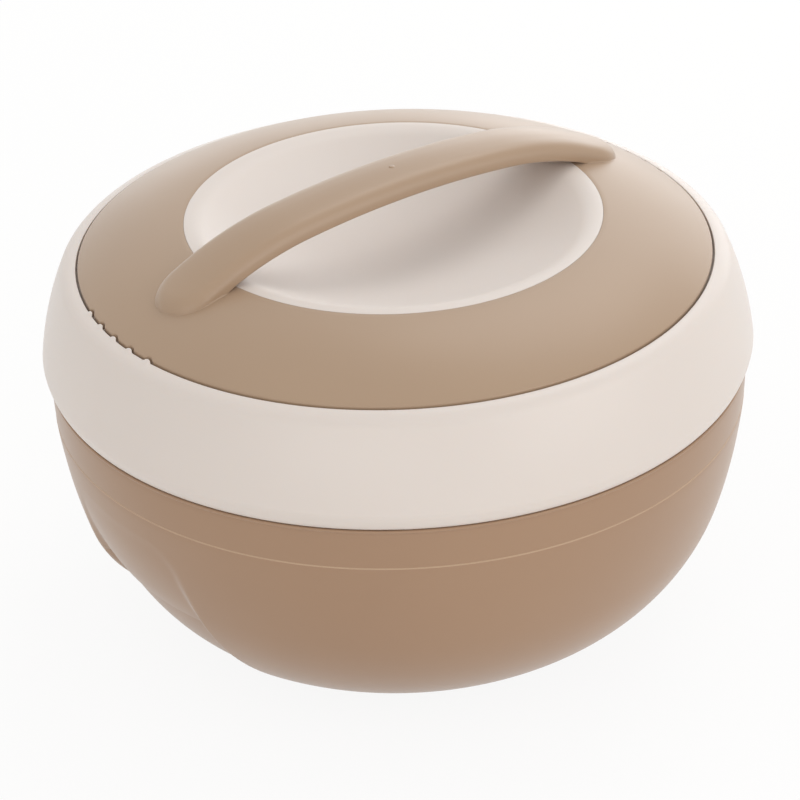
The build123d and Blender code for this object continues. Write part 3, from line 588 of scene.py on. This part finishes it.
def pressLip(radius, height, angle):
    # the lip fills the flutes of the handle ring with scallops, flush with its top
    onLip = lipInner - 0.01 < radius < lipInner + flutes["fade"]
    if not onLip or height < crestHeight - flutes["fall"]:
        return radius, height
    side = fluteSide(angle)
    if side > flutes["scallop"]:
        return radius, height
    reach = sqrt(flutes["scallop"] ** 2 - side ** 2) - flutes["scallop"] + flutes["height"]
    fade = 1 - smoothStep((radius - lipInner - lid["lipEdge"]) / flutes["fade"])
    reach = max(reach, 0) * fade
    return radius - reach, height + flutes["climb"] * reach + flutes["flush"] * smoothStep(reach)


lidShell = turnedPiece("lidShell", lidProfile(), fluteAngles(), pressLip, closed=False)
handOver(lidShell, cream, "lid", "lid_cream", "lid_shell")
print("lid shell made", len(lidShell.data.polygons))


# handle ring

ring = {"edgeRound": 0.5, "openingRound": 0.15, "fluteSoft": 0.25, "pressFrom": 4.0}


def fluteDepth(radius, angle):
    best = 0
    for centre in fluteCentres():
        away = abs((angle - centre + 180) % 360 - 180)
        side = radians(away) * ringRadius
        if side < flutes["radius"]:
            cut = sqrt(flutes["radius"] ** 2 - side ** 2) - (flutes["radius"] - flutes["depth"])
            best = max(best, smoothMax(cut, 0, ring["fluteSoft"]))
    near = smoothStep((radius - ringRadius + ring["pressFrom"]) / ring["pressFrom"])
    return best * near


def pressFlute(radius, height, angle):
    depth = fluteDepth(radius, angle)
    if depth == 0:
        return radius, height
    return radius - depth, height + domeHeight(radius - depth) - domeHeight(radius)


def ringProfile():
    opening = lid["openingRadius"]
    under = dome["thickness"]
    topIn, topOut = (opening, domeHeight(opening)), (ringRadius, domeHeight(ringRadius))
    lowIn, lowOut = (opening, domeHeight(opening, under)), (ringRadius, domeHeight(ringRadius, under))
    points = rounded(lowIn, topIn, (opening + 2, domeHeight(opening + 2)), ring["openingRound"], 2)
    points += [(r, domeHeight(r)) for r in spread(opening + 2, ringRadius - 4, ringMesh["top"])]
    points += [(r, domeHeight(r)) for r in spread(ringRadius - 4, ringRadius - 1, ringMesh["edge"])]
    points += rounded((ringRadius - 2, domeHeight(ringRadius - 2)), topOut, lowOut,
                      ring["edgeRound"], ringMesh["edgeSteps"])
    points += [lowOut]
    below = spread(opening + 4, ringRadius - 1, ringMesh["under"])
    points += [(r, domeHeight(r, under)) for r in reversed(below)]
    return points + [lowIn]


handleRing = turnedPiece("handleRing", ringProfile(), fluteAngles(), pressFlute)
handOver(handleRing, tan, "lid", "handle_tan", "handle_ring")
print("handle ring made", len(handleRing.data.polygons))


# strap

strap = {
    "crown": 176.37, "halfWidth": 12.0, "reach": 99.5, "thickness": 7.4,
    "crownRadius": 50.0, "shoulder": 4.0, "edge": 1.0,
    "midRadius": 400.0, "midSweep": 6.5, "endRadius": 126.0, "endSlope": 24.6,
    "fillet": 0.5, "valley": 0.8, "bury": 1.6, "landing": 1.6, "underInset": 1.4,
    "sideStep": 1.1, "endSteps": 16, "across": 4,
    "topRings": (9, 6, 4, 2.8, 1.8, 1.3, 0.9, 0.55, 0.3, 0.12, 0),    # distances in from the side
    "footTurns": (0, 22, 45, 68, 90), "underRings": (3, 6, 9),
}


def strapLine(x):
    # drop of the crown line below its highest point, and its slope, x from the middle
    x = abs(x)
    mid, end = radians(strap["midSweep"]), radians(strap["endSlope"])
    bendX, bendDrop = strap["midRadius"] * sin(mid), strap["midRadius"] * (1 - cos(mid))
    if x <= bendX:
        slope = asin(x / strap["midRadius"])
        return strap["midRadius"] * (1 - cos(slope)), slope
    kneeX = bendX + strap["endRadius"] * (sin(end) - sin(mid))
    if x <= kneeX:
        slope = asin(sin(mid) + (x - bendX) / strap["endRadius"])
        return bendDrop + strap["endRadius"] * (cos(mid) - cos(slope)), slope
    kneeDrop = bendDrop + strap["endRadius"] * (cos(mid) - cos(end))
    return kneeDrop + (x - kneeX) * sin(end) / cos(end), end


def strapTop(x, y):
    bulge = strap["crownRadius"] - sqrt(strap["crownRadius"] ** 2 - y ** 2)
    return strap["crown"] - strapLine(x)[0] - bulge


def strapUnder(x):
    drop, slope = strapLine(x)
    return strap["crown"] - drop - strap["thickness"] / cos(slope)


def strapOutline():
    # middle line point and outward direction for each column, from the right tip round
    straight = strap["reach"] - strap["halfWidth"]
    quarter = [90 * i / strap["endSteps"] for i in range(strap["endSteps"])]
    xs = [straight - s for s in spread(0, 2 * straight, strap["sideStep"])]
    half = [((straight, 0), a) for a in quarter] + [((x, 0), 90) for x in xs]
    half += [((-straight, 0), 90 + a) for a in quarter]
    other = [((x, -y), 360 - a) for (x, y), a in reversed(half[1:])]
    return half + [((-straight, 0), 180)] + other


def strapColumn(centre, angle):
    # section of the strap from its crown over the side to the middle of its underside;
    # landed runs from 0 where the strap is free to 1 where it stands on the ring
    half, soft = strap["halfWidth"], strap["shoulder"]
    way = (cos(radians(angle)), sin(radians(angle)))

    def spot(inset):
        return centre[0] + (half - inset) * way[0], centre[1] + (half - inset) * way[1]

    def onDome(inset):
        x, y = spot(inset)
        return domeHeight(hypot(x, y))

    def lowSpot(z, inset):
        x, y = spot(inset)
        return (x, y, z)

    under = strapUnder(spot(0)[0])
    landed = smoothStep((strap["landing"] / 2 - (under - onDome(0))) / strap["landing"])
    points = []
    for inset in strap["topRings"]:
        x, y = spot(inset)
        drop = soft - sqrt(soft ** 2 - (soft - inset) ** 2) if inset < soft else 0
        z = strapTop(x, y) - drop
        merged = smoothMax(z, onDome(inset), strap["valley"]) if landed > 0 else z
        points.append((x, y, z + (merged - z) * landed))
    wallTop = points[-1][2]
    reach, edge = strap["fillet"], strap["edge"]
    rise = min(reach, max(wallTop - onDome(0), 0))
    foot = []
    for turn in strap["footTurns"]:
        c, s = cos(radians(turn)), sin(radians(turn))
        inset = edge * (1 - c) * (1 - landed) - reach * (1 - c) * landed
        free = under + edge * (1 - s)
        held = onDome(inset) + rise * (1 - s)
        foot.append(lowSpot(free + (held - free) * landed, inset))
    points.append(lowSpot((wallTop + foot[0][2]) / 2, 0))
    points += foot
    inset = strap["underInset"] * (1 - landed) - reach * landed
    points.append(lowSpot(under + (onDome(inset) - strap["bury"] / 2 - under) * landed, inset))
    for inset in strap["underRings"]:
        points.append(lowSpot(under + (onDome(inset) - strap["bury"] - under) * landed, inset))
    return points


def bridge(shape, ring, heightAt):
    # fills the slot-shaped middle between the two long sides of a ring of vertices
    count, across = len(ring), strap["across"]
    rows = []
    for i in range(count // 2 + 1):
        a, b = ring[i], ring[(count - i) % count]
        if a == b:
            rows.append([a])
            continue
        row = [a]
        for k in range(1, across):
            spot = a.co.lerp(b.co, k / across)
            row.append(shape.verts.new((spot.x, spot.y, heightAt(spot, a, b, k / across))))
        rows.append(row + [b])
    for low, high in zip(rows, rows[1:]):
        for k in range(across):
            corners = [low[min(k, len(low) - 1)], low[min(k + 1, len(low) - 1)],
                       high[min(k + 1, len(high) - 1)], high[min(k, len(high) - 1)]]
            shape.faces.new(list(dict.fromkeys(corners)))


def makeStrap():
    shape = bmesh.new()
    columns = [strapColumn(centre, angle) for centre, angle in strapOutline()]
    rings = [[shape.verts.new([value * mm for value in column[k]]) for column in columns]
             for k in range(len(columns[0]))]
    count = len(columns)
    for low, high in zip(rings, rings[1:]):
        for i in range(count):
            j = (i + 1) % count
            shape.faces.new([low[i], low[j], high[j], high[i]])

    def crown(spot, a, b, share):
        x, y = spot.x / mm, spot.y / mm
        full = strapTop(x, y)
        edge = strapTop(x, a.co.y / mm)
        return (full - edge) * mm + a.co.z + (b.co.z - a.co.z) * share

    def flat(spot, a, b, share):
        return a.co.z + (b.co.z - a.co.z) * share

    bridge(shape, rings[0], crown)
    bridge(shape, rings[-1], flat)
    return finishMesh("handleStrap", shape)


handleStrap = makeStrap()
handOver(handleStrap, tan, "lid", "handle_tan", "handle_ring")


gate = {"radius": 1.1, "foot": 1.02, "lift": 0.3, "sink": 0.6, "turns": (90, 65, 45, 25, 8),
        "columnTurn": 15}


def makeGateMark():
    # cold spot where the plastic ran into the mould: a low shiny bead in the middle of the strap
    top, r = strapTop(0, 0), gate["radius"]
    rise = [(r * cos(radians(a)), top + gate["lift"] * sin(radians(a))) for a in gate["turns"]]
    profile = rise + [(r * gate["foot"], top - gate["sink"]), (0, top - gate["sink"])]
    return turnedPiece("gateMark", profile, spread(0, 360, gate["columnTurn"]), closed=False)


gateMark = makeGateMark()
handOver(gateMark, tanGate, "lid", "handle_tan", "handle_ring")
print("strap made", len(handleStrap.data.polygons))


# repeated pieces: one tree sets copies of a mesh round a circle

def arcArray():
    tree = bpy.data.node_groups.new("arcArray", "GeometryNodeTree")
    sockets = (("Geometry", "NodeSocketGeometry"), ("Count", "NodeSocketInt"),
               ("Pitch", "NodeSocketFloat"), ("First", "NodeSocketFloat"),
               ("Radius", "NodeSocketFloat"), ("Finish", "NodeSocketMaterial"))
    for name, kind in sockets:
        tree.interface.new_socket(name, in_out="INPUT", socket_type=kind)
    tree.interface.new_socket("Geometry", in_out="OUTPUT", socket_type="NodeSocketGeometry")
    given = addNode(tree, "NodeGroupInput").outputs
    index = addNode(tree, "GeometryNodeInputIndex")
    turn = addNode(tree, "ShaderNodeMath", {"operation": "MULTIPLY_ADD"}, {
        0: index.outputs[0], 1: given["Pitch"], 2: given["First"]})
    angle = addNode(tree, "ShaderNodeMath", {"operation": "RADIANS"}, {0: turn.outputs[0]})
    across = addNode(tree, "ShaderNodeMath", {"operation": "COSINE"}, {0: angle.outputs[0]})
    along = addNode(tree, "ShaderNodeMath", {"operation": "SINE"}, {0: angle.outputs[0]})
    way = addNode(tree, "ShaderNodeCombineXYZ", {}, {0: across.outputs[0], 1: along.outputs[0]})
    spot = addNode(tree, "ShaderNodeVectorMath", {"operation": "SCALE"}, {
        0: way.outputs[0], "Scale": given["Radius"]})
    points = addNode(tree, "GeometryNodePoints", {}, {
        "Count": given["Count"], "Position": spot.outputs[0]})
    facing = addNode(tree, "ShaderNodeCombineXYZ", {}, {2: angle.outputs[0]})
    copies = addNode(tree, "GeometryNodeInstanceOnPoints", {}, {
        "Points": points.outputs[0], "Instance": given["Geometry"], "Rotation": facing.outputs[0]})
    real = addNode(tree, "GeometryNodeRealizeInstances", {}, {0: copies.outputs[0]})
    painted = addNode(tree, "GeometryNodeSetMaterial", {}, {
        "Geometry": real.outputs[0], "Material": given["Finish"]})
    addNode(tree, "NodeGroupOutput", {}, {0: painted.outputs[0]})
    return tree


arrayTree = arcArray()


def arrayed(piece, settings):
    # runs the tree on a single copy and keeps the result as a plain mesh
    modifier = piece.modifiers.new("array", "NODES")
    modifier.node_group = arrayTree
    for item in arrayTree.interface.items_tree:
        if item.in_out == "INPUT" and item.name in settings:
            modifier[item.identifier] = settings[item.name]
    solved = piece.evaluated_get(bpy.context.evaluated_depsgraph_get())
    mesh = bpy.data.meshes.new_from_object(solved)
    piece.modifiers.clear()
    piece.data = mesh
    return piece


# bayonet lugs inside the skirt, and a small index nub on its lower edge
lug = {"inner": 122.0, "outer": 126.9, "low": 105.0, "height": 2.5, "span": 22.0, "round": 0.4,
       "count": 3, "first": 0.0, "shift": 0.0}
nub = {"inner": 125.2, "outer": 127.1, "low": 103.75, "height": 0.8, "span": 1.36, "round": 0.25,
       "angle": -124.4}


def arcBlock(name, size, middle=0.0):
    # short piece of a ring with soft edges
    shape = bmesh.new()
    low, high = size["low"], size["low"] + size["height"]
    corners = [(size["inner"], low), (size["outer"], low), (size["outer"], high), (size["inner"], high)]
    outline = []
    for k in range(4):
        outline += rounded(corners[k - 1], corners[k], corners[(k + 1) % 4], size["round"], 2)
    half = size["span"] / 2
    rows = []
    for angle in spread(-half, half, min(1.0, half / 2)) + [half]:
        c, s = cos(radians(middle + angle)) * mm, sin(radians(middle + angle)) * mm
        rows.append([shape.verts.new((r * c, r * s, z * mm)) for r, z in outline])
    for low, high in zip(rows, rows[1:]):
        for i in range(len(outline)):
            j = (i + 1) % len(outline)
            shape.faces.new([low[i], low[j], high[j], high[i]])
    shape.faces.new(rows[0])
    shape.faces.new(rows[-1])
    return finishMesh(name, shape)


# the lug already stands at its own radius, so its copies only turn
lidLugs = arrayed(arcBlock("lidLugs", lug), {
    "Count": lug["count"], "Pitch": 360 / lug["count"], "First": lug["first"],
    "Radius": lug["shift"], "Finish": cream})
handOver(lidLugs, cream, "lid", "lid_cream", "lid_shell")
lidNub = arcBlock("lidNub", nub, nub["angle"])
handOver(lidNub, cream, "lid", "lid_cream", "lid_shell")
print("repeated pieces made")


# pieces that keep their CAD shape

kept = {
    "base_cap": brown, "cap_screws": zinc, "fill_plug": pale, "body_insulation": foam,
    "inner_liner": steel, "rim_collar": pale, "seal_ring": silicone, "handle_screws": zinc,
    "lid_insulation": foam, "lid_liner": pale,
}
for node, material in kept.items():
    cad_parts[node].material_slots[0].material = material
print("kept pieces dressed")


# floor, light and camera

studio = {
    "floorSize": 4000, "floorColour": "f4f3f1", "floorWhite": 0.9,   # share of plain white in the floor
    "worldColour": "fffefc", "worldLevel": 0.79, "lampAim": 90,
    "lamps": {
        "key": {"place": (900, 400, 1500), "size": 1100, "power": 5},
        "back": {"place": (1350, 760, 420), "size": 1300, "power": 5},
        "rear": {"place": (900, 1350, 200), "size": 1000, "power": 1.5},
        "front": {"place": (500, -1450, 650), "size": 1300, "power": 5},
        "fill": {"place": (-1250, -1000, 350), "size": 1300, "power": 3}},
}


def seenRays(tree):
    # 1 where the camera looks straight at the backdrop, in a reflection or through something clear
    rays = addNode(tree, "ShaderNodeLightPath").outputs
    seen = addNode(tree, "ShaderNodeMath", {"operation": "MAXIMUM"}, {
        0: rays["Is Camera Ray"], 1: rays["Is Glossy Ray"]})
    return addNode(tree, "ShaderNodeMath", {"operation": "MAXIMUM"}, {
        0: seen.outputs[0], 1: rays["Is Transmission Ray"]})


def makeFloor():
    half = studio["floorSize"] / 2 * mm
    mesh = bpy.data.meshes.new("floor")
    mesh.from_pydata([(-half, -half, 0), (half, -half, 0), (half, half, 0), (-half, half, 0)], [],
                     [(0, 1, 2, 3)])
    floor = bpy.data.objects.new("floor", mesh)
    bpy.context.scene.collection.objects.link(floor)
    material, tree, out, place = newMaterial("paleFloor")
    seen = seenRays(tree)
    share = addNode(tree, "ShaderNodeMath", {"operation": "MULTIPLY"}, {
        0: seen.outputs[0], 1: studio["floorWhite"]})
    paint = addNode(tree, "ShaderNodeBsdfDiffuse", {}, {"Color": linear(studio["floorColour"])})
    white = addNode(tree, "ShaderNodeEmission", {}, {"Color": (1, 1, 1, 1), "Strength": 1.0})
    both = addNode(tree, "ShaderNodeMixShader", {}, {
        0: share.outputs[0], 1: paint.outputs[0], 2: white.outputs[0]})
    tree.links.new(both.outputs[0], out.inputs["Surface"])
    mesh.materials.append(material)


def makeWorld():
    world = bpy.data.worlds.new("studio")
    bpy.context.scene.world = world
    world.use_nodes = True
    tree = world.node_tree
    tree.nodes.clear()
    seen = seenRays(tree)
    soft = addNode(tree, "ShaderNodeBackground", {}, {
        "Color": linear(studio["worldColour"]), "Strength": studio["worldLevel"]})
    white = addNode(tree, "ShaderNodeBackground", {}, {"Color": (1, 1, 1, 1), "Strength": 1.0})
    both = addNode(tree, "ShaderNodeMixShader", {}, {
        0: seen.outputs[0], 1: soft.outputs[0], 2: white.outputs[0]})
    addNode(tree, "ShaderNodeOutputWorld", {}, {0: both.outputs[0]})


def addLamp(name, settings):
    lamp = bpy.data.lights.new(name, "AREA")
    lamp.shape = "DISK"
    lamp.size = settings["size"] * mm
    lamp.energy = settings["power"]
    holder = bpy.data.objects.new(name, lamp)
    holder.location = [value * mm for value in settings["place"]]
    aim = Vector((0, 0, studio["lampAim"] * mm)) - holder.location
    holder.rotation_euler = aim.to_track_quat("-Z", "Y").to_euler()
    bpy.context.scene.collection.objects.link(holder)


camera = {"azimuth": -35.0, "elevation": 30.229, "distance": 1239.5, "aim": 80.0,
          "roll": -2.0575, "lens": 150.3, "sensor": 36, "clipStart": 50}


def makeCamera():
    lens = bpy.data.cameras.new("camera")
    lens.lens = camera["lens"]
    lens.sensor_width = camera["sensor"]
    lens.clip_start = camera["clipStart"] * mm
    holder = bpy.data.objects.new("camera", lens)
    bpy.context.scene.collection.objects.link(holder)
    a, e = radians(camera["azimuth"]), radians(camera["elevation"])
    aim = Vector((0, 0, camera["aim"] * mm))
    away = Vector((sin(a) * cos(e), -cos(a) * cos(e), sin(e))) * camera["distance"] * mm
    holder.location = aim + away
    look = (-away).to_track_quat("-Z", "Y")
    holder.rotation_euler = (look @ Quaternion((0, 0, 1), radians(camera["roll"]))).to_euler()
    bpy.context.scene.camera = holder


makeFloor()
makeWorld()
for name, settings in studio["lamps"].items():
    addLamp(name, settings)
makeCamera()
bpy.context.scene.view_settings.view_transform = "Standard"
print("studio ready")
